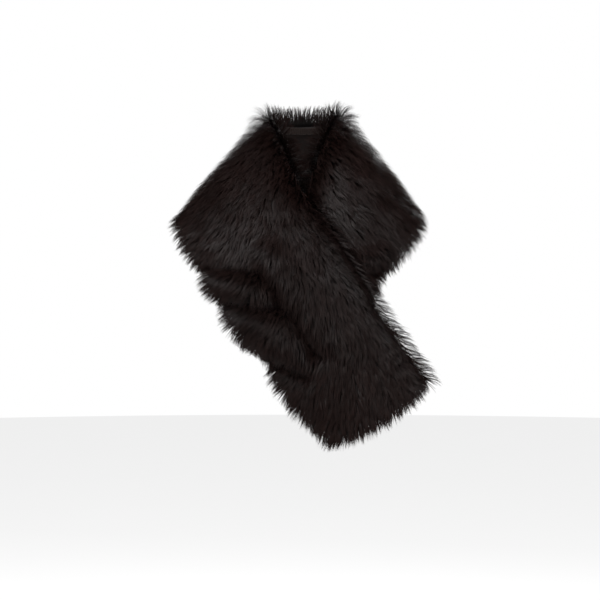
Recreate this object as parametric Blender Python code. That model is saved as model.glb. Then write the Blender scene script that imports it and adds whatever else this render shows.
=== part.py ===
"""Fur collar wrap, worn crossed over at the front, modelled hollow as it sits on the neck and shoulders.

One long strip of fur with a smooth lining runs from the hem of the front that crosses over, up to
the wearer's right shoulder, round the nape, and down over the left shoulder to the front that goes
under. The wearer faces -Y, +X is the wearer's left and +Z is up. The origin is on the axis of the
neck, level with the bottom of the V. Tables are in millimetres, the model is in metres.
"""

from collections import namedtuple

import bmesh
import bpy
import numpy as np

MM = 0.001
SEAM_GAP = 0.3  # between neighbouring pieces
LINING_WALL = 1.5
BAND_WALL = 1.2
BAND_CLEARANCE = 0.7  # off the lining, so that its straight rows clear the curve
EDGE_ROUND = 18.0  # how far in from an edge the pile reaches its full depth
EDGE_DEPTH = 0.35  # depth of the pile at an edge, as a share of the full depth
FOLD_ON_CLOTH = 0.7  # how much of a fold the cloth under the pile follows
NORMAL_STEP = 0.01  # section counts, for reading the cloth's direction

# The strip's cross-sections, in order from the over-front's hem. "neck" is the edge nearer the neck,
# "middle" the centre line and "outer" the edge away from the neck, all on the back of the fur cloth.
# "pile" is how far the fur stands off that cloth.
Section = namedtuple("Section", "name neck middle outer pile")
SECTIONS = [
    Section("hem", (205, -100, -313), (133, -110, -374), (48, -102, -411), 16),
    Section("panel_low", (156, -104, -243), (73, -115, -299), (-18, -102, -344), 17),
    Section("panel_high", (115, -104, -182), (29, -116, -234), (-60, -98, -283), 17),
    Section("crossing_low", (76, -104, -118), (-12, -115, -177), (-101, -92, -234), 17),
    Section("crossing_high", (39, -98, -62), (-47, -111, -126), (-133, -85, -189), 17),
    Section("throat", (8, -84, -17), (-75, -98, -82), (-157, -70, -148), 17),
    Section("chest", (-11, -64, 31), (-98, -78, -38), (-181, -45, -106), 17),
    Section("collar_front", (-26, -42, 74), (-115, -48, 3), (-200, -16, -69), 17),
    Section("right_shoulder", (-44, -10, 115), (-127, -6, 34), (-202, 14, -54), 17),
    Section("right_behind", (-57, 24, 123), (-124, 42, 36), (-188, 54, -58), 16),
    Section("right_blade", (-49, 54, 126), (-95, 90, 34), (-143, 102, -66), 16),
    Section("right_nape", (-26, 70, 127), (-50, 112, 29), (-76, 132, -73), 16),
    Section("nape", (0, 75, 128), (0, 119, 26), (0, 142, -76), 16),
    Section("left_nape", (26, 70, 128), (50, 112, 29), (76, 132, -73), 16),
    Section("left_blade", (49, 54, 128), (95, 90, 36), (140, 102, -64), 16),
    Section("left_behind", (57, 24, 127), (122, 42, 38), (180, 54, -54), 16),
    Section("left_shoulder", (43, -10, 121), (124, -6, 36), (188, 14, -50), 17),
    Section("collar_under", (28, -38, 84), (109, -46, 5), (184, -14, -69), 17),
    Section("chest_under", (14, -54, 37), (90, -64, -32), (162, -42, -104), 16),
    Section("throat_under", (0, -60, -4), (70, -72, -70), (135, -60, -135), 15),
    Section("tucked_high", (-21, -71, -56), (47, -79, -118), (109, -71, -179), 13),
    Section("tucked_low", (-52, -79, -113), (18, -85, -172), (87, -79, -231), 11),
    Section("tucked_end", (-95, -80, -183), (-22, -88, -240), (47, -85, -296), 11),
]

# The three stretches of the strip: the first and last section, and how many rows each is drawn with.
Stretch = namedtuple("Stretch", "name first last rows hem_at_first hem_at_last")
STRETCHES = [
    Stretch("front_over", "hem", "right_shoulder", 34, True, False),
    Stretch("back", "right_shoulder", "left_shoulder", 26, False, False),
    Stretch("front_under", "left_shoulder", "tucked_end", 24, False, True),
]

# Folds, each along a line from (along, across) to (along, across): along counts sections from the
# hem, across runs from 0 at the neck edge to 1 at the outer edge. Height is negative for a trough.
Fold = namedtuple("Fold", "name start end height half_width")
FOLDS = [
    Fold("centre_valley", (4.1, 0.57), (1.75, 0.59), -8, 15),
    Fold("centre_ridge", (4.4, 0.42), (2.0, 0.44), 5, 22),
    Fold("crease_upper", (5.4, 0.97), (4.1, 0.60), -7, 13),
    Fold("crease_middle", (4.05, 0.92), (3.0, 0.64), -8, 14),
    Fold("crease_lower", (2.5, 0.97), (1.4, 0.74), -7, 14),
    Fold("puff_upper", (4.7, 0.86), (3.9, 0.72), 4, 18),
    Fold("puff_lower", (3.2, 0.84), (2.3, 0.74), 5, 22),
    Fold("under_ridge", (19.7, 0.58), (18.7, 0.80), 4, 12),
    Fold("under_hollow", (19.9, 0.70), (19.2, 0.90), -6, 13),
    Fold("shoulder_crease", (16.9, 0.55), (16.5, 0.82), -5, 12),
    Fold("blade_fold_right", (10.2, 0.95), (11.1, 0.45), -5, 16),
    Fold("blade_fold_left", (14.1, 0.98), (13.2, 0.60), -4, 15),
]

ACROSS = [0, 0.015, 0.035, 0.065, 0.13, 0.22, 0.33, 0.44, 0.56, 0.67, 0.78, 0.87, 0.935, 0.965, 0.985, 1]
LINING_COLUMNS = slice(3, -3)
HEM_ROWS_MM = [0, 3, 8, 16]
BAND_ACROSS = (0.075, 0.125)
BAND_ALONG = (10.2, 13.8)
BAND_COLUMNS = 3

LOOKS = {  # base colour, roughness
    "fur": ((0.012, 0.008, 0.007), 0.6),
    "lining": ((0.010, 0.008, 0.008), 0.45),
    "band": ((0.022, 0.018, 0.018), 0.6),
}


def number_of(name):
    return [section.name for section in SECTIONS].index(name)


def along_curve(column, at):
    """A point of a smooth curve through one column of the table, at a section count."""
    points = np.array([getattr(section, column) for section in SECTIONS], float)
    before = int(min(max(np.floor(at), 0), len(points) - 2))
    part = at - before
    p1, p2 = points[before], points[before + 1]
    p0 = points[before - 1] if before > 0 else 2 * p1 - p2
    p3 = points[before + 2] if before + 2 < len(points) else 2 * p2 - p1
    return 0.5 * (
        2 * p1
        + (p2 - p0) * part
        + (2 * p0 - 5 * p1 + 4 * p2 - p3) * part**2
        + (3 * p1 - p0 - 3 * p2 + p3) * part**3
    )


def cloth_point(along, across):
    """A point of the strip before its folds: each section is a parabola through its three points."""
    neck, middle, outer = (along_curve(name, along) for name in ("neck", "middle", "outer"))
    return (
        neck * 2 * (across - 0.5) * (across - 1)
        - middle * 4 * across * (across - 1)
        + outer * 2 * across * (across - 0.5)
    )


def cloth_normal(along, across):
    run = cloth_point(along + NORMAL_STEP, across) - cloth_point(along - NORMAL_STEP, across)
    fall = cloth_point(along, across + NORMAL_STEP) - cloth_point(along, across - NORMAL_STEP)
    normal = np.cross(run, fall)
    return normal / np.linalg.norm(normal)


def fold_height(point):
    """How far the folds lift the cloth at a point."""
    total = 0.0
    for fold in FOLDS:
        start, end = cloth_point(*fold.start), cloth_point(*fold.end)
        line = end - start
        share = np.clip(np.dot(point - start, line) / np.dot(line, line), 0, 1)
        away = np.linalg.norm(point - start - share * line)
        total += fold.height * np.exp(-((away / fold.half_width) ** 2))
    return total


def rounding(distance):
    """The pile's share of its full depth, this far in from an edge."""
    inward = min(distance / EDGE_ROUND, 1.0)
    return EDGE_DEPTH + (1 - EDGE_DEPTH) * np.sqrt(1 - (1 - inward) ** 2)


def rows_of(stretch):
    """Section counts of a stretch's rows, close together at a hem and just short of a seam."""
    first, last = number_of(stretch.first), number_of(stretch.last)
    here = list(np.linspace(first, last, stretch.rows))
    if stretch.hem_at_first:
        per_mm = 1 / np.linalg.norm(cloth_point(first + 1, 0.5) - cloth_point(first, 0.5))
        here[:1] = [first + mm * per_mm for mm in HEM_ROWS_MM]
    if stretch.hem_at_last:
        per_mm = 1 / np.linalg.norm(cloth_point(last, 0.5) - cloth_point(last - 1, 0.5))
        here[-1:] = [last - mm * per_mm for mm in reversed(HEM_ROWS_MM)]
    if not stretch.hem_at_first:
        here[0] += half_seam(first)
    if not stretch.hem_at_last:
        here[-1] -= half_seam(last)
    return here


def half_seam(at):
    """Half a seam's gap as a section count, taken at the neck edge, where the sections are closest."""
    return 0.5 * SEAM_GAP / np.linalg.norm(cloth_point(at + 0.5, 0) - cloth_point(at - 0.5, 0))


def surfaces_of(stretch):
    """Grids of the cloth's back, its outward normals and the pile's face."""
    rows = rows_of(stretch)
    shape = (len(rows), len(ACROSS), 3)
    cloth, normals, face = np.empty(shape), np.empty(shape), np.empty(shape)
    for i, along in enumerate(rows):
        width = np.linalg.norm(cloth_point(along, 1) - cloth_point(along, 0))
        pile = along_curve("pile", along)
        to_hem = EDGE_ROUND
        if stretch.hem_at_first:
            to_hem = np.linalg.norm(cloth_point(along, 0.5) - cloth_point(rows[0], 0.5))
        if stretch.hem_at_last:
            to_hem = np.linalg.norm(cloth_point(along, 0.5) - cloth_point(rows[-1], 0.5))
        for j, across in enumerate(ACROSS):
            point = cloth_point(along, across)
            normal = cloth_normal(along, across)
            height = fold_height(point)
            depth = pile * rounding(width * min(across, 1 - across)) * rounding(to_hem)
            normals[i, j] = normal
            cloth[i, j] = point + normal * height * FOLD_ON_CLOTH
            face[i, j] = point + normal * (height + depth)
    return cloth, normals, face


def wall_mesh(name, inside, outside):
    """A closed wall between two grids of the same size. The outside grid faces out."""
    mesh = bpy.data.meshes.new(name)
    shell = bmesh.new()
    rows, columns = inside.shape[:2]
    near = [[shell.verts.new(inside[i, j] * MM) for j in range(columns)] for i in range(rows)]
    far = [[shell.verts.new(outside[i, j] * MM) for j in range(columns)] for i in range(rows)]
    for i in range(rows - 1):
        for j in range(columns - 1):
            corners = [(i, j), (i + 1, j), (i + 1, j + 1), (i, j + 1)]
            shell.faces.new([far[a][b] for a, b in corners])
            shell.faces.new([near[a][b] for a, b in reversed(corners)])
    border = [(i, 0) for i in range(rows)]
    border += [(rows - 1, j) for j in range(1, columns)]
    border += [(i, columns - 1) for i in range(rows - 2, -1, -1)]
    border += [(0, j) for j in range(columns - 2, 0, -1)]
    for (a, b), (c, d) in zip(border, border[1:] + border[:1]):
        shell.faces.new([near[a][b], near[c][d], far[c][d], far[a][b]])
    bmesh.ops.recalc_face_normals(shell, faces=shell.faces)
    bmesh.ops.triangulate(shell, faces=shell.faces)
    shell.to_mesh(mesh)
    shell.free()
    mesh.shade_smooth()
    return mesh


def material_of(name):
    colour, roughness = LOOKS[name]
    material = bpy.data.materials.new(name)
    material.use_nodes = True
    shader = material.node_tree.nodes["Principled BSDF"]
    shader.inputs["Base Color"].default_value = (*colour, 1.0)
    shader.inputs["Roughness"].default_value = roughness
    return material


def add_piece(collection, name, inside, outside, look):
    mesh = wall_mesh(name, inside, outside)
    mesh.materials.append(material_of(look))
    piece = bpy.data.objects.new(name, mesh)
    collection.objects.link(piece)
    return piece


def fur_piece(collection, stretch):
    cloth, _, face = surfaces_of(stretch)
    return add_piece(collection, f"fur_{stretch.name}", cloth, face, "fur")


def lining_piece(collection, stretch):
    """The lining lies under the fur cloth, and stops short of its edges and hems."""
    cloth, normals, _ = surfaces_of(stretch)
    hem = len(HEM_ROWS_MM) - 1
    rows = slice(hem if stretch.hem_at_first else 0, -hem if stretch.hem_at_last else None)
    cloth, normals = cloth[rows, LINING_COLUMNS], normals[rows, LINING_COLUMNS]
    outside = cloth - normals * SEAM_GAP
    inside = outside - normals * LINING_WALL
    return add_piece(collection, f"lining_{stretch.name}", inside, outside, "lining")


def neck_band(collection):
    """A narrow facing on the inner side of the back lining, along the nape."""
    back = STRETCHES[1]
    rows = [at for at in rows_of(back) if BAND_ALONG[0] <= at <= BAND_ALONG[1]]
    places = [[(along, across) for across in np.linspace(*BAND_ACROSS, BAND_COLUMNS)] for along in rows]
    points = np.array([[cloth_point(*place) for place in row] for row in places])
    normals = np.array([[cloth_normal(*place) for place in row] for row in places])
    outside = points - normals * (SEAM_GAP + LINING_WALL + BAND_CLEARANCE)
    inside = outside - normals * BAND_WALL
    return add_piece(collection, "neck_band", inside, outside, "band")


def main():
    for thing in list(bpy.data.objects):
        bpy.data.objects.remove(thing)
    collection = bpy.data.collections.new("fur_collar_wrap")
    bpy.context.scene.collection.children.link(collection)
    for stretch in STRETCHES:
        fur_piece(collection, stretch)
        lining_piece(collection, stretch)
    neck_band(collection)


main()
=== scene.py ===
"""Looks of a fur collar wrap: long pile, the cloth under it, a smooth lining and a ribbed neck band.

The wrap is one strip, followed from the hem of the front that crosses over, up to the wearer's right
shoulder, round the nape and down the left shoulder to the front that goes under. A place on the strip
is (along, across): along counts the sections of the table below from that hem, and across runs from 0
at the neck edge to 1 at the outer edge. Tables are in millimetres, meshes in metres.
"""

import math
from collections import namedtuple

import bmesh
import bpy
import numpy as np
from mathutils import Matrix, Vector


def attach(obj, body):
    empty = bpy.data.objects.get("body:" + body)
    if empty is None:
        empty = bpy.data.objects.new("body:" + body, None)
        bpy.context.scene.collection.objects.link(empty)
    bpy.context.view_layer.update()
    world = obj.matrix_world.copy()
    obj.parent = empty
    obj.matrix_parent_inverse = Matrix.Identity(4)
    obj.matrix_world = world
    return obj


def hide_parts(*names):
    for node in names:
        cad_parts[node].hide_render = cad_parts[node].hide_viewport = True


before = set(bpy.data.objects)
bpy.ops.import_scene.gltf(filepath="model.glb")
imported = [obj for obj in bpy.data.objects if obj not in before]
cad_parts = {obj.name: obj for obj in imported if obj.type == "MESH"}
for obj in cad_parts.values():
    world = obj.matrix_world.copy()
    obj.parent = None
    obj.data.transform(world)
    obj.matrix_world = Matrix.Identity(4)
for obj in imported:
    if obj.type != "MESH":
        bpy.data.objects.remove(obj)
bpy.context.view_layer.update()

MM = 0.001

# ---------------------------------------------------------------- the strip's shape

# Each section's three points lie on the back of the fur cloth, out to where the hair tips reach.
Section = namedtuple("Section", "name neck middle outer")
SECTIONS = [
    Section("hem", (205, -100, -313), (133, -110, -374), (48, -102, -411)),
    Section("panel_low", (156, -104, -243), (73, -115, -299), (-18, -102, -344)),
    Section("panel_high", (115, -104, -182), (29, -116, -234), (-60, -98, -283)),
    Section("crossing_low", (76, -104, -118), (-12, -115, -177), (-101, -92, -234)),
    Section("crossing_high", (39, -98, -62), (-47, -111, -126), (-133, -85, -189)),
    Section("throat", (8, -84, -17), (-75, -98, -82), (-157, -70, -148)),
    Section("chest", (-11, -64, 31), (-98, -78, -38), (-181, -45, -106)),
    Section("collar_front", (-26, -42, 74), (-115, -48, 3), (-200, -16, -69)),
    Section("right_shoulder", (-44, -10, 115), (-127, -6, 34), (-202, 14, -54)),
    Section("right_behind", (-57, 24, 123), (-124, 42, 36), (-188, 54, -58)),
    Section("right_blade", (-49, 54, 126), (-95, 90, 34), (-143, 102, -66)),
    Section("right_nape", (-26, 70, 127), (-50, 112, 29), (-76, 132, -73)),
    Section("nape", (0, 75, 128), (0, 119, 26), (0, 142, -76)),
    Section("left_nape", (26, 70, 128), (50, 112, 29), (76, 132, -73)),
    Section("left_blade", (49, 54, 128), (95, 90, 36), (140, 102, -64)),
    Section("left_behind", (57, 24, 127), (122, 42, 38), (180, 54, -54)),
    Section("left_shoulder", (43, -10, 121), (124, -6, 36), (188, 14, -50)),
    Section("collar_under", (28, -38, 84), (109, -46, 5), (184, -14, -69)),
    Section("chest_under", (14, -54, 37), (90, -64, -32), (162, -42, -104)),
    Section("throat_under", (0, -60, -4), (70, -72, -70), (135, -60, -135)),
    Section("tucked_high", (-21, -71, -56), (47, -79, -118), (109, -71, -179)),
    Section("tucked_low", (-52, -79, -113), (18, -85, -172), (87, -79, -231)),
    Section("tucked_end", (-95, -80, -183), (-22, -88, -240), (47, -85, -296)),
]
NUMBER = {section.name: i for i, section in enumerate(SECTIONS)}
LAST = len(SECTIONS) - 1

# Folds run from (along, across) to (along, across). Height is negative for a trough.
Fold = namedtuple("Fold", "name start end height half_width")
FOLDS = [
    Fold("centre_valley", (4.1, 0.57), (1.75, 0.59), -12, 12),
    Fold("centre_ridge", (4.4, 0.44), (2.0, 0.46), 7, 19),
    Fold("centre_pit", (2.05, 0.60), (1.85, 0.62), -5, 12),
    Fold("crease_upper", (5.4, 0.97), (4.1, 0.60), -11, 10),
    Fold("crease_middle", (4.05, 0.92), (3.0, 0.64), -12, 10),
    Fold("crease_lower", (2.5, 0.97), (1.4, 0.74), -10, 10),
    Fold("puff_upper", (4.7, 0.86), (3.9, 0.72), 6, 15),
    Fold("puff_lower", (3.2, 0.84), (2.3, 0.74), 7, 19),
    Fold("under_ridge", (19.7, 0.58), (18.7, 0.80), 7, 10),
    Fold("under_hollow", (19.9, 0.70), (19.2, 0.90), -9, 11),
    Fold("shoulder_crease", (16.9, 0.55), (16.5, 0.82), -7, 9),
    Fold("blade_fold_right", (10.2, 0.95), (11.1, 0.45), -7, 13),
    Fold("blade_fold_left", (14.1, 0.98), (13.2, 0.60), -6, 12),
]

# The stretches of the strip between its seams. Flat is the cut's width and length in metres, and
# area its flat area in square metres where it isn't a rectangle.
Stretch = namedtuple("Stretch", "name first last flat area")
STRETCHES = [
    Stretch("front_over", "hem", "right_shoulder", (0.20, 0.53), None),
    Stretch("back", "right_shoulder", "left_shoulder", (0.28, 0.51), 0.088),
    Stretch("front_under", "left_shoulder", "tucked_end", (0.19, 0.35), None),
]

CLOTH_STEP = 5.0  # spacing of the meshes' rows and columns
CLOTH_WALL = 1.3
HAIR_REACH = 9.0  # how far the hair stands past the cloth's long edges
HEM_REACH = 16.0  # and past its two ends
SEAM_GAP = 0.3
LINING_WALL = 1.0
LINING_INSET = 15.0  # from the reach of the hair to the lining's long edges
LINING_END_INSET = 19.0
LINING_SLACK = 1.2  # deepest that the lining hangs away from the fur cloth
STRIP_WIDTH = 200.0
LENGTH_SAMPLES = 200
NORMAL_STEP = 0.01  # section counts, for reading the cloth's direction


def spline(values, at):
    """Values of a smooth curve through rows of numbers, at an array of row counts."""
    values = np.asarray(values, float)
    at = np.asarray(at, float)
    before = np.clip(np.floor(at), 0, len(values) - 2).astype(int)
    part = (at - before)[..., None]
    padded = np.concatenate([2 * values[:1] - values[1:2], values, 2 * values[-1:] - values[-2:-1]])
    p0, p1, p2, p3 = (padded[before + i] for i in range(4))
    bend = 2 * p0 - 5 * p1 + 4 * p2 - p3
    return 0.5 * (2 * p1 + (p2 - p0) * part + bend * part**2 + (3 * p1 - p0 - 3 * p2 + p3) * part**3)


def smooth(value):
    value = np.clip(value, 0, 1)
    return value * value * (3 - 2 * value)


def bell(distance, half_width):
    return np.exp(-((distance / half_width) ** 2))


def unit(vectors):
    return vectors / np.linalg.norm(vectors, axis=-1, keepdims=True)


def flat_strip(along, across):
    """Points of the strip before its folds: each section is a parabola through its three points."""
    neck, middle, outer = (spline([s[i] for s in SECTIONS], along) for i in (1, 2, 3))
    across = np.asarray(across, float)[..., None]
    return (
        neck * 2 * (across - 0.5) * (across - 1)
        - middle * 4 * across * (across - 1)
        + outer * 2 * across * (across - 0.5)
    )


def directions(along, across, shape=flat_strip):
    """Unit vectors along the strip, out from the neck, and off the cloth's face."""
    run = unit(shape(along + NORMAL_STEP, across) - shape(along - NORMAL_STEP, across))
    fall = unit(shape(along, across + NORMAL_STEP) - shape(along, across - NORMAL_STEP))
    return run, fall, unit(np.cross(run, fall))


def fold_height(points):
    """How far the folds lift points of the flat strip, by their distance from each fold's line."""
    total = np.zeros(points.shape[:-1])
    for fold in FOLDS:
        start, end = (flat_strip(*map(np.array, place)) for place in (fold.start, fold.end))
        line = end - start
        share = np.clip((points - start) @ line / (line @ line), 0, 1)
        away = np.linalg.norm(points - start - share[..., None] * line, axis=-1)
        total += fold.height * bell(away, fold.half_width)
    return total


def folded_strip(along, across):
    points = flat_strip(along, across)
    return points + directions(along, across)[2] * fold_height(points)[..., None]


def length_at(along):
    """Millimetres along the middle of the strip for one section, near a section count."""
    return float(np.linalg.norm(flat_strip(along + 0.5, 0.5) - flat_strip(along - 0.5, 0.5)))


def width_at(along):
    return np.linalg.norm(flat_strip(along, 1.0) - flat_strip(along, 0.0), axis=-1)


def place_grid(first, last, inset, end_inset, seam_inset=0.0):
    """Grids of (along, across) between two section counts, drawn in by millimetres.

    inset is for the long edges, end_inset for the strip's own two ends, and seam_inset for a place
    where the strip goes on.
    """
    first += (end_inset if first == 0 else seam_inset) / length_at(first + 0.5)
    last -= (end_inset if last == LAST else seam_inset) / length_at(last - 0.5)
    middle = flat_strip(np.linspace(first, last, LENGTH_SAMPLES), np.full(LENGTH_SAMPLES, 0.5))
    rows = int(np.linalg.norm(np.diff(middle, axis=0), axis=1).sum() / CLOTH_STEP)
    along = np.linspace(first, last, rows)
    width = width_at(along)
    columns = int(width.mean() / CLOTH_STEP)
    margin = inset / width
    across = margin[:, None] + (1 - 2 * margin[:, None]) * np.linspace(0, 1, columns)
    return np.repeat(along[:, None], columns, axis=1), across


# ---------------------------------------------------------------- meshes


def new_object(name, data, material=None):
    if material:
        data.materials.clear()
        data.materials.append(material)
    piece = bpy.data.objects.new(name, data)
    bpy.context.scene.collection.objects.link(piece)
    return piece


def grid_faces(rows, columns):
    corner = np.arange(rows * columns).reshape(rows, columns)
    quads = [corner[:-1, :-1], corner[1:, :-1], corner[1:, 1:], corner[:-1, 1:]]
    return np.stack(quads, -1).reshape(-1, 4)


def grid_border(rows, columns):
    """The numbers of a grid's border points, once round."""
    corner = np.arange(rows * columns).reshape(rows, columns)
    return np.concatenate([corner[:-1, 0], corner[-1, :-1], corner[:0:-1, -1], corner[0, :0:-1]])


def wall_piece(name, inside, outside, along, across, material):
    """A closed thin wall between two grids of points, with a UV map in metres of cloth."""
    rows, columns = along.shape
    count = rows * columns
    faces = grid_faces(rows, columns)
    border = grid_border(rows, columns)
    after = np.roll(border, -1)
    rim_middle = 0.5 * (inside + outside).reshape(-1, 3)[border]
    ring = 2 * count + np.arange(len(border))
    next_ring = np.roll(ring, -1)
    points = np.concatenate([inside.reshape(-1, 3), outside.reshape(-1, 3), rim_middle])
    rim_low = np.stack([border, after, next_ring, ring], -1)
    rim_high = np.stack([ring, next_ring, after + count, border + count], -1)
    quads = np.concatenate([faces[:, ::-1], faces + count, rim_low, rim_high])
    mesh = bpy.data.meshes.new(name)
    mesh.from_pydata((points * MM).tolist(), [], quads.tolist())
    shell = bmesh.new()
    shell.from_mesh(mesh)
    bmesh.ops.recalc_face_normals(shell, faces=shell.faces)
    shell.to_mesh(mesh)
    shell.free()
    mesh.shade_smooth()
    flat = cloth_places(along, across)
    set_uv(mesh, "cloth", np.concatenate([flat, flat, flat[border]]))
    return new_object(name, mesh, material)


def cloth_places(along, across):
    """Where a grid's points lie on the cloth in metres: out from the neck, then along the strip."""
    lengths = np.array([length_at(a) for a in along[:, 0]])
    steps = np.diff(along[:, 0]) * 0.5 * (lengths[1:] + lengths[:-1])
    v = np.concatenate([[0], np.cumsum(steps)]) * MM
    u = across * width_at(along[:, 0])[:, None] * MM
    return np.stack([u, np.repeat(v[:, None], u.shape[1], axis=1)], -1).reshape(-1, 2)


def set_uv(mesh, name, places):
    """A UV map from each point's place."""
    corners = np.empty(len(mesh.loops), np.int32)
    mesh.loops.foreach_get("vertex_index", corners)
    layer = mesh.uv_layers.new(name=name)
    layer.uv.foreach_set("vector", places[corners].astype(np.float32).ravel())


# ---------------------------------------------------------------- nodes


class Nodes:
    """Adds nodes to a tree."""

    def __init__(self, tree):
        self.tree = tree

    def node(self, kind, settings=None, **inputs):
        """One node: its type, its settings, and the values or links of its sockets by name."""
        node = self.tree.nodes.new(kind)
        for name, value in (settings or {}).items():
            setattr(node, name, value)
        for name, value in inputs.items():
            self.feed(socket_called(node.inputs, name.replace("_", " ")), value)
        return node

    def add(self, kind, settings=None, **inputs):
        """The first output of a new node."""
        return self.output(self.node(kind, settings, **inputs))

    def output(self, node, name=None):
        return Wire(self, socket_called(node.outputs, name) if name else node.outputs[0])

    def feed(self, socket, value):
        if isinstance(value, Wire):
            self.tree.links.new(value.socket, socket)
        else:
            socket.default_value = value

    def vectors(self, operation, first, second=None, scale=None):
        node = self.tree.nodes.new("ShaderNodeVectorMath")
        node.operation = operation
        self.feed(node.inputs[0], first)
        if second is not None:
            self.feed(node.inputs[1], second)
        if scale is not None:
            self.feed(node.inputs["Scale"], scale)
        return Wire(self, node.outputs["Value" if operation == "DOT_PRODUCT" else "Vector"])

    def mixed(self, factor, first, second, blend="MIX"):
        """A colour between two colours, each a wire or (red, green, blue)."""
        node = self.tree.nodes.new("ShaderNodeMix")
        node.data_type = "RGBA"
        node.blend_type = blend
        for name, value in (("Factor", factor), ("A", first), ("B", second)):
            value = (*value, 1.0) if isinstance(value, tuple) else value
            self.feed(socket_called(node.inputs, name), value)
        return Wire(self, next(s for s in node.outputs if s.enabled))


def socket_called(sockets, name):
    """The enabled socket of a name, because a node may hold one for each type of data."""
    return next(s for s in sockets if s.name.lower() == name.lower() and s.enabled)


class Wire:
    """A socket whose Python arithmetic adds Math nodes."""

    def __init__(self, nodes, socket):
        self.nodes = nodes
        self.socket = socket

    def maths(self, operation, *values):
        node = self.nodes.tree.nodes.new("ShaderNodeMath")
        node.operation = operation
        for socket, value in zip(node.inputs, values):
            self.nodes.feed(socket, value)
        return self.nodes.output(node)

    def __add__(self, other):
        return self.maths("ADD", self, other)

    def __radd__(self, other):
        return self.maths("ADD", other, self)

    def __sub__(self, other):
        return self.maths("SUBTRACT", self, other)

    def __rsub__(self, other):
        return self.maths("SUBTRACT", other, self)

    def __mul__(self, other):
        return self.maths("MULTIPLY", self, other)

    def __rmul__(self, other):
        return self.maths("MULTIPLY", other, self)

    def __truediv__(self, other):
        return self.maths("DIVIDE", self, other)

    def __rtruediv__(self, other):
        return self.maths("DIVIDE", other, self)

    def __pow__(self, other):
        return self.maths("POWER", self, other)

    def clamped(self, low=0.0, high=1.0):
        return self.maths("MINIMUM", self.maths("MAXIMUM", self, low), high)


# ---------------------------------------------------------------- materials

RED_HAIR = (0.0038, 0.0016, 0.0013), (0.0240, 0.0104, 0.0086)  # root and tip
GREY_HAIR = (0.0032, 0.0018, 0.0015), (0.0220, 0.0135, 0.0122)
FUR_GROUND = (0.0022, 0.0016, 0.0015), (0.0060, 0.0042, 0.0040)
SATIN = (0.0100, 0.0064, 0.0057), (0.0138, 0.0092, 0.0083)
SATIN_WEAVE = (0.0175, 0.0124, 0.0112)
BAND = (0.017, 0.011, 0.0095), (0.040, 0.028, 0.024)
FLOOR = (0.86, 0.86, 0.86), (0.89, 0.89, 0.89)
FLOOR_GLOW = 0.75  # keeps the floor as light as the background
HAIR_PATCHES = 22.0  # noise scales, per metre
CLOTH_GRAIN = 260.0
BAND_GRAIN = 700.0
FLOOR_PATCHES = 1.5
STREAKS = (60.0, 9.0, 1.0)
WEAVE = (2400.0, 260.0, 1.0)


class Surface:
    """A new material with one Principled BSDF, whose inputs are set by name."""

    def __init__(self, name, roughness, specular):
        self.material = bpy.data.materials.new(name)
        self.material.use_nodes = True
        self.nodes = Nodes(self.material.node_tree)
        self.principled = self.material.node_tree.nodes["Principled BSDF"]
        self.give("Roughness", roughness)
        self.give("Specular IOR Level", specular)

    def give(self, name, value):
        self.nodes.feed(self.principled.inputs[name], value)

    def noise(self, scale):
        place = self.nodes.output(self.nodes.node("ShaderNodeTexCoord"), "Object")
        return self.nodes.add("ShaderNodeTexNoise", Vector=place, Scale=scale, Detail=3.0)

    def attribute(self, name):
        node = self.nodes.node("ShaderNodeAttribute", {"attribute_name": name})
        return self.nodes.output(node, "Fac")


def plain_material(name, roughness, specular, colours, scale):
    """A colour that wanders between two, in patches of a noise scale."""
    surface = Surface(name, roughness, specular)
    surface.give("Base Color", surface.nodes.mixed(surface.noise(scale), *colours))
    return surface


def pile_material():
    """Brown-black hair: dark at the root, lighter at the tip, redder or greyer, each tuft its own shade."""
    surface = Surface("long_pile", 0.40, 0.14)
    nodes = surface.nodes
    rise, shade, tone = (surface.attribute(name) for name in ("rise", "shade", "tone"))
    red = nodes.mixed(rise, *RED_HAIR)
    grey = nodes.mixed(rise, *GREY_HAIR)
    greyness = (tone + (surface.noise(HAIR_PATCHES) - 0.5) * 1.2 + (shade - 0.5) * 0.5).clamped()
    hair = nodes.mixed(greyness, red, grey)
    bright = 0.33 + shade * 1.15
    brightness = nodes.add("ShaderNodeCombineColor", Red=bright, Green=bright, Blue=bright)
    surface.give("Base Color", nodes.mixed(1.0, hair, brightness, "MULTIPLY"))
    surface.give("Roughness", 0.36 + shade * 0.2)
    return surface.material


def lining_material():
    """A smooth satin with a fine weave and faint watery streaks."""
    surface = Surface("satin_lining", 0.48, 0.18)
    nodes = surface.nodes
    cloth = nodes.add("ShaderNodeUVMap", {"uv_map": "cloth"})

    def stretched_noise(scales, detail):
        place = nodes.add("ShaderNodeMapping", Vector=cloth, Scale=scales)
        return nodes.add("ShaderNodeTexNoise", Vector=place, Scale=1.0, Detail=detail)

    streak = stretched_noise(STREAKS, 2.0)
    weave = stretched_noise(WEAVE, 1.0)
    colour = nodes.mixed(streak, *SATIN)
    surface.give("Base Color", nodes.mixed((weave * 0.5).clamped(), colour, SATIN_WEAVE))
    surface.give("Roughness", 0.36 + streak * 0.16)
    surface.give("Normal", nodes.add("ShaderNodeBump", Strength=0.25, Distance=0.0002, Height=weave))
    return surface.material


# ---------------------------------------------------------------- cloth, lining and band

BAND_ALONG = (10.2, 13.8)
BAND_ACROSS = (0.075, 0.125)
BAND_ROWS = 220
BAND_COLUMNS = 9
BAND_WALL = 1.2
BAND_DEPTH = 2.9  # from the back of the fur cloth
RIB_SPACING = 3.4
RIB_HEIGHT = 0.8


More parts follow.
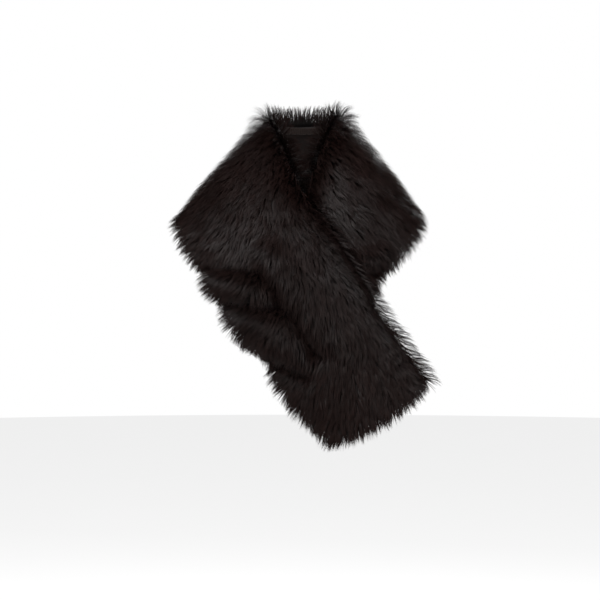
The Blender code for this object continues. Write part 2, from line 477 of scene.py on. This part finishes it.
def fur_cloth(stretch, material):
    """The ground that the hair stands on: a thin shell that follows the folds."""
    first, last = NUMBER[stretch.first], NUMBER[stretch.last]
    along, across = place_grid(first, last, HAIR_REACH, HEM_REACH, SEAM_GAP / 2)
    ground = folded_strip(along, across)
    face = ground + directions(along, across, folded_strip)[2] * CLOTH_WALL
    return wall_piece(f"fur_cloth_{stretch.name}", ground, face, along, across, material)


def lining(stretch, material):
    """The lining under the fur cloth, slack in soft ripples between its sewn edges."""
    first, last = NUMBER[stretch.first], NUMBER[stretch.last]
    along, across = place_grid(first, last, LINING_INSET, LINING_END_INSET, SEAM_GAP / 2)
    normal = directions(along, across, folded_strip)[2]
    wander = 2.3 * np.sin(along * 1.9)
    ripple = 0.5 + 0.5 * np.sin(across * 21 + wander) * np.sin(along * 3.1 + across * 4)
    free = np.clip(np.minimum(across, 1 - across) * STRIP_WIDTH / LINING_INSET - 1, 0, 1)
    slack = LINING_SLACK * ripple * free
    outside = folded_strip(along, across) - normal * (SEAM_GAP + slack[..., None])
    inside = outside - normal * LINING_WALL
    return wall_piece(f"lining_{stretch.name}_satin", inside, outside, along, across, material)


def neck_band(material):
    """A short facing ribbon inside the neck, ribbed across its length."""
    along = np.linspace(*BAND_ALONG, BAND_ROWS)
    across = np.linspace(*BAND_ACROSS, BAND_COLUMNS)
    along, across = np.meshgrid(along, across, indexing="ij")
    normal = directions(along, across, folded_strip)[2]
    points = folded_strip(along, across)
    travel = np.linalg.norm(np.diff(points[:, BAND_COLUMNS // 2], axis=0), axis=1)
    travel = np.concatenate([[0], np.cumsum(travel)])[:, None]
    rib = RIB_HEIGHT * (0.5 + 0.5 * np.cos(2 * np.pi * travel / RIB_SPACING)) * np.ones(across.shape)
    outside = points - normal * BAND_DEPTH
    inside = outside - normal * (BAND_WALL - RIB_HEIGHT + rib[..., None])
    return wall_piece("ribbed_neck_band", inside, outside, along, across, material)


# ---------------------------------------------------------------- where hair grows

# Which way the hair lies, in degrees at each edge and the middle of the named sections: 0 runs along
# the strip towards the over-front's hem, 90 straight out from the neck, 180 towards the tucked end.
Comb = namedtuple("Comb", "section neck middle outer")
COMBS = [
    Comb("hem", -8, 28, 52),
    Comb("panel_high", -12, 34, 66),
    Comb("crossing_low", -14, 38, 78),
    Comb("crossing_high", -8, 42, 85),
    Comb("throat", 12, 56, 80),
    Comb("chest", 40, 62, 76),
    Comb("collar_front", 62, 70, 80),
    Comb("right_shoulder", 80, 82, 88),
    Comb("nape", 90, 90, 90),
    Comb("left_shoulder", 98, 92, 92),
    Comb("collar_under", 118, 97, 96),
    Comb("chest_under", 118, 100, 104),
    Comb("throat_under", 118, 102, 112),
    Comb("tucked_low", 140, 130, 125),
    Comb("tucked_end", 150, 145, 140),
]

# The hair at each edge of the strip: its length and density as shares of the face's, and how many
# radians it is raised.
Edge = namedtuple("Edge", "length crowd lift")
EDGES = {
    "neck": Edge(1.25, 2.6, 0.4),
    "outer": Edge(0.62, 1.5, 0.25),
    "hem": Edge(0.66, 1.6, 0.25),
    "end": Edge(0.6, 0.5, 0.25),
}

# The pieces of hair, each between two section counts of a stretch, with the edges that it covers.
Pile = namedtuple("Pile", "name stretch first last edges per_square_metre seed")
PILES = [
    Pile("pile_over_low", "front_over", 0, 2.7, ("neck", "outer", "hem"), 830000.0, 11),
    Pile("pile_over_middle", "front_over", 2.7, 5.3, ("neck", "outer"), 830000.0, 12),
    Pile("pile_over_high", "front_over", 5.3, 8, ("neck", "outer"), 830000.0, 13),
    Pile("pile_back", "back", 8, 16, ("neck", "outer"), 365000.0, 14),
    Pile("pile_under", "front_under", 16, LAST, ("neck", "outer", "end"), 830000.0, 15),
]

EDGE_ROUND = 2.2  # radius of the rolled edge that the fringe grows from
EDGE_TURNS = np.radians([-10, 25, 60, 95, 125])  # round it, from the cloth's face to its back
NAPE_CROWD = 1.4  # how much denser the fringe is at the nape
NECK_ROLL = 7.0  # how far from the neck edge the hair leans over it
NECK_RISE = 26.0  # how far from the neck edge the hair stands up
ROOT_DEPTH = 0.7  # share of the cloth's wall that the roots come through
HIDDEN_SHARE = 0.15  # of the density, where the over-front hides the under-front


def comb_angle(along, across):
    """The hair's direction on the strip, in radians, smoothly between the table's places."""
    places = np.array([NUMBER[comb.section] for comb in COMBS], float)
    rows = np.array([comb[1:] for comb in COMBS], float)
    count = np.interp(along, places, np.arange(len(places)))
    neck, middle, outer = np.moveaxis(spline(rows, count), -1, 0)
    inner_half = neck + (middle - neck) * smooth(across / 0.45)
    return np.radians(inner_half + (outer - middle) * smooth((across - 0.5) / 0.5))


def tone_at(along, across):
    """0 where the hair is redder, as on the shoulders and round the neck, 1 where it is greyer."""
    over = 0.25 + 0.5 * bell(along - 2.6, 2.4)
    under = 0.45 * smooth((along - 16.6) / 1.6) * smooth(across / 0.35)
    return np.clip(over + under, 0, 1)


def crowd_at(along, across):
    """The density's share: full where the strip shows, thin where the over-front hides it."""
    return 1.0 - (1 - HIDDEN_SHARE) * smooth((along - 19.4 - across * 0.9) / 0.6)


def nape_share(along):
    """1 at the nape, where the fringe stands against the light, and 0 from the shoulders on."""
    return smooth((4.5 - np.abs(along - NUMBER["nape"])) / 2)


def face_patch(first, last):
    """The face of the cloth between two section counts: its points, and the hair's settings there."""
    along, across = place_grid(first, last, HAIR_REACH, HEM_REACH)
    run, fall, normal = directions(along, across, folded_strip)
    angle = comb_angle(along, across)[..., None]
    height = fold_height(flat_strip(along, across))
    inward = across * width_at(along[:, 0])[:, None] - HAIR_REACH
    raised = 0.55 * bell(inward, NECK_ROLL) + 0.4 * bell(inward, NECK_RISE)
    return folded_strip(along, across) + normal * CLOTH_WALL * ROOT_DEPTH, {
        "comb": -np.cos(angle) * run + np.sin(angle) * fall,
        "reach": 1.0 + 0.045 * np.clip(height, -12, 3),
        "crowd": crowd_at(along, across),
        "tone": tone_at(along, across),
        "lift": raised + 0.035 * np.clip(-height, 0, 12),
    }


def edge_patch(first, last, name):
    """A rolled edge between two section counts, where the hair turns round with the cloth."""
    along, across = place_grid(first, last, HAIR_REACH, HEM_REACH)
    part = {"neck": np.s_[::-1, 0], "outer": np.s_[:, -1], "hem": np.s_[0, :], "end": np.s_[-1, ::-1]}
    along, across = along[part[name]], across[part[name]]
    run, fall, normal = directions(along, across, folded_strip)
    off = {"neck": -fall, "outer": fall, "hem": -run, "end": run}[name]
    angle = comb_angle(along, across)[:, None]
    flow = -np.cos(angle) * run + np.sin(angle) * fall
    flow_off = np.sum(flow * off, axis=-1, keepdims=True)
    centre = folded_strip(along, across) - normal * (EDGE_ROUND - CLOTH_WALL) - off * EDGE_ROUND
    points, combs = [], []
    for turn in EDGE_TURNS:
        facing = np.cos(turn) * normal + np.sin(turn) * off
        turned_off = np.cos(turn) * off - np.sin(turn) * normal
        points.append(centre + facing * EDGE_ROUND)
        combs.append(flow - flow_off * off + flow_off * turned_off)
    along, across = (np.repeat(place[:, None], len(EDGE_TURNS), axis=1) for place in (along, across))
    edge = EDGES[name]
    extra = 1 + NAPE_CROWD * (name == "neck") * nape_share(along)
    return np.stack(points, 1), {
        "comb": np.stack(combs, 1),
        "reach": np.full(along.shape, edge.length),
        "crowd": edge.crowd * crowd_at(along, across) * extra,
        "tone": tone_at(along, across),
        "lift": np.full(along.shape, edge.lift),
    }


def emitter(pile):
    """A bare mesh that a piece of hair grows from, with the hair's settings at its points."""
    patches = [face_patch(pile.first, pile.last)]
    patches += [edge_patch(pile.first, pile.last, edge) for edge in pile.edges]
    faces = []
    count = 0
    for points, _ in patches:
        faces += (grid_faces(*points.shape[:2]) + count).tolist()
        count += points.shape[0] * points.shape[1]
    points = np.concatenate([points.reshape(-1, 3) for points, _ in patches])
    mesh = bpy.data.meshes.new(pile.name + "_ground")
    mesh.from_pydata((points * MM).tolist(), [], faces)
    for key in patches[0][1]:
        kind, field, size = ("FLOAT_VECTOR", "vector", 3) if key == "comb" else ("FLOAT", "value", 1)
        values = np.concatenate([settings[key].reshape(-1, size) for _, settings in patches])
        layer = mesh.attributes.new(key, kind, "POINT")
        layer.data.foreach_set(field, values.astype(np.float32).ravel())
    return new_object(pile.name + "_ground", mesh)


# ---------------------------------------------------------------- hair

STRAND_BENDS = (33, 58, 76)  # degrees from upright of a strand's three lengths
STRAND_WIDTHS = (1.0, 0.9, 0.62)  # at the root and the two bends, before the tip
STRAND_POINTS = 7
STRAND_DROOP = -0.003  # at the tip, in metres
TREE_SIZES = {"Length": 0.028, "Width": 0.00046, "Tuft size": 0.0036, "Lock size": 0.016}
WAVE_SCALE = 26.0  # noise scale, per metre

# What the tufts, the larger locks and the waves do to a hair: radians for the angles, shares of the
# hair's length, shares of the way to the middle of its tuft or lock, and parts of its shade.
WAVE_YAW = 1.5
TUFT_YAW = 0.4
LOCK_YAW = 0.45
TUFT_LEAN = 0.3
LEAST_LENGTH = 0.91
TUFT_LENGTH = 0.16
TUFT_PULL = 0.30
LOCK_PULL = 0.13
LEAST_SHADE = 0.16875
TUFT_SHADE = 0.25
LOCK_SHADE = 0.2
BAKE_MARGIN = 0.1  # share of a strand's cell on its bake map


def strand():
    """One hair of length 1 and width 1, rising along Z and bending over to Y."""
    bends = [math.radians(bend) for bend in STRAND_BENDS]
    heights = np.concatenate([[0], np.cumsum(np.cos(bends))]) / len(bends)
    reaches = np.concatenate([[0], np.cumsum(np.sin(bends))]) / len(bends)
    points, rises = [], []
    for i, width in enumerate(STRAND_WIDTHS):
        for side in (-0.5, 0.5):
            points.append((side * width, reaches[i], heights[i]))
            rises.append(i / len(bends))
    points.append((0.0, reaches[-1], heights[-1]))
    rises.append(1.0)
    mesh = bpy.data.meshes.new("strand")
    mesh.from_pydata(points, [], [(0, 1, 3, 2), (2, 3, 5, 4), (4, 5, 6)])
    for key, values in (("rise", rises), ("side", [p[0] + 0.5 for p in points])):
        mesh.attributes.new(key, "FLOAT", "POINT").data.foreach_set("value", values)
    mesh.shade_smooth()
    return new_object("strand", mesh)


def pile_tree():
    """Hair on a cloth: points on its faces, a strand on each, combed, gathered in tufts and made real."""
    tree = bpy.data.node_groups.new("pile", "GeometryNodeTree")
    for name, kind in (
        ("Cloth", "Geometry"),
        ("Strand", "Object"),
        ("Per square metre", "Float"),
        ("Length", "Float"),
        ("Width", "Float"),
        ("Tuft size", "Float"),
        ("Lock size", "Float"),
        ("Seed", "Int"),
        ("Material", "Material"),
    ):
        socket = tree.interface.new_socket(name, in_out="INPUT", socket_type="NodeSocket" + kind)
        if name in TREE_SIZES:
            socket.default_value = TREE_SIZES[name]
    tree.interface.new_socket("Hair", in_out="OUTPUT", socket_type="NodeSocketGeometry")
    nodes = Nodes(tree)
    given = nodes.node("NodeGroupInput")

    def take(name):
        return nodes.output(given, name)

    def read(name, kind="FLOAT"):
        return nodes.add("GeometryNodeInputNamedAttribute", {"data_type": kind}, Name=name)

    scattered = nodes.node(
        "GeometryNodeDistributePointsOnFaces",
        {"distribute_method": "RANDOM"},
        Mesh=take("Cloth"),
        Density=take("Per square metre") * read("crowd"),
        Seed=take("Seed"),
    )
    normal = nodes.output(scattered, "Normal")
    place = nodes.add("GeometryNodeInputPosition")

    def gathered(size):
        """The way to the middle of a place's tuft, along the cloth, and three random numbers for it."""
        cell = nodes.node("ShaderNodeTexVoronoi", Vector=place, Scale=1.0 / take(size))
        way = nodes.vectors("SUBTRACT", nodes.output(cell, "Position"), place)
        off = nodes.vectors("SCALE", normal, scale=nodes.vectors("DOT_PRODUCT", way, normal))
        randoms = nodes.node("ShaderNodeSeparateXYZ", Vector=nodes.output(cell, "Color"))
        return nodes.vectors("SUBTRACT", way, off), [nodes.output(randoms, axis) for axis in "XYZ"]

    tuft_way, tuft = gathered("Tuft size")
    lock_way, lock = gathered("Lock size")
    wave = nodes.add("ShaderNodeTexNoise", Vector=place, Scale=WAVE_SCALE, Detail=2.0)

    yaw = (wave - 0.5) * WAVE_YAW + (lock[0] - 0.5) * LOCK_YAW + (tuft[0] - 0.5) * TUFT_YAW
    comb = nodes.add(
        "ShaderNodeVectorRotate",
        {"rotation_type": "AXIS_ANGLE"},
        Vector=read("comb", "FLOAT_VECTOR"),
        Axis=normal,
        Angle=yaw,
    )
    combed = nodes.add(
        "FunctionNodeAxesToRotation",
        {"primary_axis": "Z", "secondary_axis": "Y"},
        Primary_Axis=normal,
        Secondary_Axis=comb,
    )
    lean = read("lift") + (tuft[1] - 0.5) * TUFT_LEAN
    lean_turn = nodes.add("FunctionNodeAxisAngleToRotation", Axis=(1.0, 0.0, 0.0), Angle=lean)
    leaned = nodes.node("FunctionNodeRotateRotation", {"rotation_space": "LOCAL"})
    nodes.feed(leaned.inputs[0], combed)
    nodes.feed(leaned.inputs[1], lean_turn)

    length = take("Length") * read("reach") * (LEAST_LENGTH + tuft[2] * TUFT_LENGTH)
    shade = tuft[0] * TUFT_SHADE + lock[1] * LOCK_SHADE + LEAST_SHADE
    pull = nodes.vectors(
        "ADD",
        nodes.vectors("SCALE", tuft_way, scale=TUFT_PULL),
        nodes.vectors("SCALE", lock_way, scale=LOCK_PULL),
    )
    pull = nodes.vectors("SCALE", pull, scale=(1.0 - read("lift") * 1.3).clamped(0.15, 1.0))

    points = nodes.output(scattered, "Points")
    for name, kind, value in (("shade", "FLOAT", shade), ("pull", "FLOAT_VECTOR", pull)):
        points = nodes.add(
            "GeometryNodeStoreNamedAttribute",
            {"data_type": kind, "domain": "POINT"},
            Geometry=points,
            Name=name,
            Value=value,
        )
    model = nodes.node("GeometryNodeObjectInfo", {"transform_space": "ORIGINAL"}, Object=take("Strand"))
    planted = nodes.add(
        "GeometryNodeInstanceOnPoints",
        Points=points,
        Instance=nodes.output(model, "Geometry"),
        Rotation=nodes.output(leaned),
        Scale=nodes.add("ShaderNodeCombineXYZ", X=take("Width"), Y=length, Z=length),
    )
    real = nodes.add("GeometryNodeRealizeInstances", Geometry=planted)
    rise = read("rise")
    drawn = nodes.vectors("SCALE", read("pull", "FLOAT_VECTOR"), scale=rise**1.3)
    droop = nodes.add("ShaderNodeCombineXYZ", X=0.0, Y=0.0, Z=rise**2.0 * STRAND_DROOP)
    moved = nodes.add("GeometryNodeSetPosition", Geometry=real, Offset=nodes.vectors("ADD", drawn, droop))
    dressed = nodes.add("GeometryNodeSetMaterial", Geometry=moved, Material=take("Material"))
    nodes.feed(nodes.tree.nodes.new("NodeGroupOutput").inputs[0], dressed)
    return tree


def give_strand_cells(mesh):
    """A bake map with a cell of its own for each strand, its root at the cell's foot."""
    values = {}
    for key in ("rise", "side"):
        values[key] = np.empty(len(mesh.vertices), np.float32)
        mesh.attributes[key].data.foreach_get("value", values[key])
    cells = math.ceil(math.sqrt(len(mesh.vertices) // STRAND_POINTS))
    number = np.arange(len(mesh.vertices)) // STRAND_POINTS
    inside = 1 - 2 * BAKE_MARGIN
    u = (number % cells + BAKE_MARGIN + inside * values["side"]) / cells
    v = (number // cells + BAKE_MARGIN + inside * values["rise"]) / cells
    set_uv(mesh, "OFBake", np.stack([u, v], -1))


def grow(pile, tree, model, material):
    """Runs the pile tree on a bare mesh and leaves a plain mesh of hair."""
    ground = emitter(pile)
    modifier = ground.modifiers.new("pile", "NODES")
    modifier.node_group = tree
    given = {item.name: item.identifier for item in tree.interface.items_tree if item.in_out == "INPUT"}
    modifier[given["Strand"]] = model
    modifier[given["Per square metre"]] = pile.per_square_metre
    modifier[given["Seed"]] = pile.seed
    modifier[given["Material"]] = material
    graph = bpy.context.evaluated_depsgraph_get()
    mesh = bpy.data.meshes.new_from_object(ground.evaluated_get(graph), depsgraph=graph)
    mesh.name = pile.name
    give_strand_cells(mesh)
    for spare in ("comb", "reach", "crowd", "lift", "pull", "side"):
        if spare in mesh.attributes:
            mesh.attributes.remove(mesh.attributes[spare])
    bpy.data.objects.remove(ground)
    return new_object(pile.name, mesh, material)


# ---------------------------------------------------------------- stage

CAMERA_PLACE = (-0.005, -2.3, -0.180)
CAMERA_LENS = 84.1
FLOOR_HEIGHT = -1.35
FLOOR_RADIUS = 12
LIGHT_AIM = (0, 0, -0.12)
AMBIENT = 0.12  # strength of the white surroundings, which the camera sees at full strength

Light = namedtuple("Light", "name place size power")
LIGHTS = [
    Light("key", (-1.0, -1.5, 2.2), 1.3, 66),
    Light("fill", (1.5, -1.6, 1.5), 1.3, 30),
    Light("back", (0.4, 2.2, 1.6), 1.4, 30),
]


def add_camera():
    camera = new_object("camera", bpy.data.cameras.new("camera"))
    camera.data.lens = CAMERA_LENS
    camera.location = CAMERA_PLACE
    camera.rotation_euler = (math.radians(90), 0, 0)
    bpy.context.scene.camera = camera


def add_area_light(light):
    data = bpy.data.lights.new(light.name, "AREA")
    data.size = light.size
    data.energy = light.power
    lamp = new_object(light.name, data)
    lamp.location = light.place
    lamp.rotation_euler = (Vector(LIGHT_AIM) - Vector(light.place)).to_track_quat("-Z", "Y").to_euler()


def add_stage():
    bpy.ops.mesh.primitive_circle_add(
        vertices=96, radius=FLOOR_RADIUS, fill_type="NGON", location=(0, 0, FLOOR_HEIGHT)
    )
    floor = bpy.context.active_object
    floor.name = "floor"
    surface = plain_material("pale_floor", 0.8, 0.2, FLOOR, FLOOR_PATCHES)
    surface.give("Emission Color", (1.0, 1.0, 1.0, 1.0))
    surface.give("Emission Strength", FLOOR_GLOW)
    floor.data.materials.append(surface.material)
    bpy.context.scene.view_settings.view_transform = "Standard"
    world = bpy.data.worlds.new("studio")
    bpy.context.scene.world = world
    world.use_nodes = True
    nodes = Nodes(world.node_tree)
    background = world.node_tree.nodes["Background"]
    nodes.feed(background.inputs["Color"], (1.0, 1.0, 1.0, 1.0))
    seen = nodes.output(nodes.node("ShaderNodeLightPath"), "Is Camera Ray")
    nodes.feed(background.inputs["Strength"], AMBIENT + seen * (1 - AMBIENT))
    for light in LIGHTS:
        add_area_light(light)


# ---------------------------------------------------------------- the wrap


def main():
    add_camera()
    add_stage()
    ground = plain_material("fur_ground", 0.85, 0.2, FUR_GROUND, CLOTH_GRAIN).material
    satin, hair = lining_material(), pile_material()
    cloths, linings = [], []
    for stretch in STRETCHES:
        cloths.append(fur_cloth(stretch, ground))
        linings.append(lining(stretch, satin))
    band = neck_band(plain_material("ribbed_band", 0.6, 0.2, BAND, BAND_GRAIN).material)
    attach(band, "root")
    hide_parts("neck_band")
    model, tree = strand(), pile_tree()
    hairs = [grow(pile, tree, model, hair) for pile in PILES]
    bpy.data.objects.remove(model)
    for stretch, cloth, satin_piece in zip(STRETCHES, cloths, linings):
        pieces = [piece for pile, piece in zip(PILES, hairs) if pile.stretch == stretch.name]
        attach(cloth, "root")
        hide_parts(f"fur_{stretch.name}")
        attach(satin_piece, "root")
        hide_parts(f"lining_{stretch.name}")
        for piece in pieces:
            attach(piece, "root")


main()
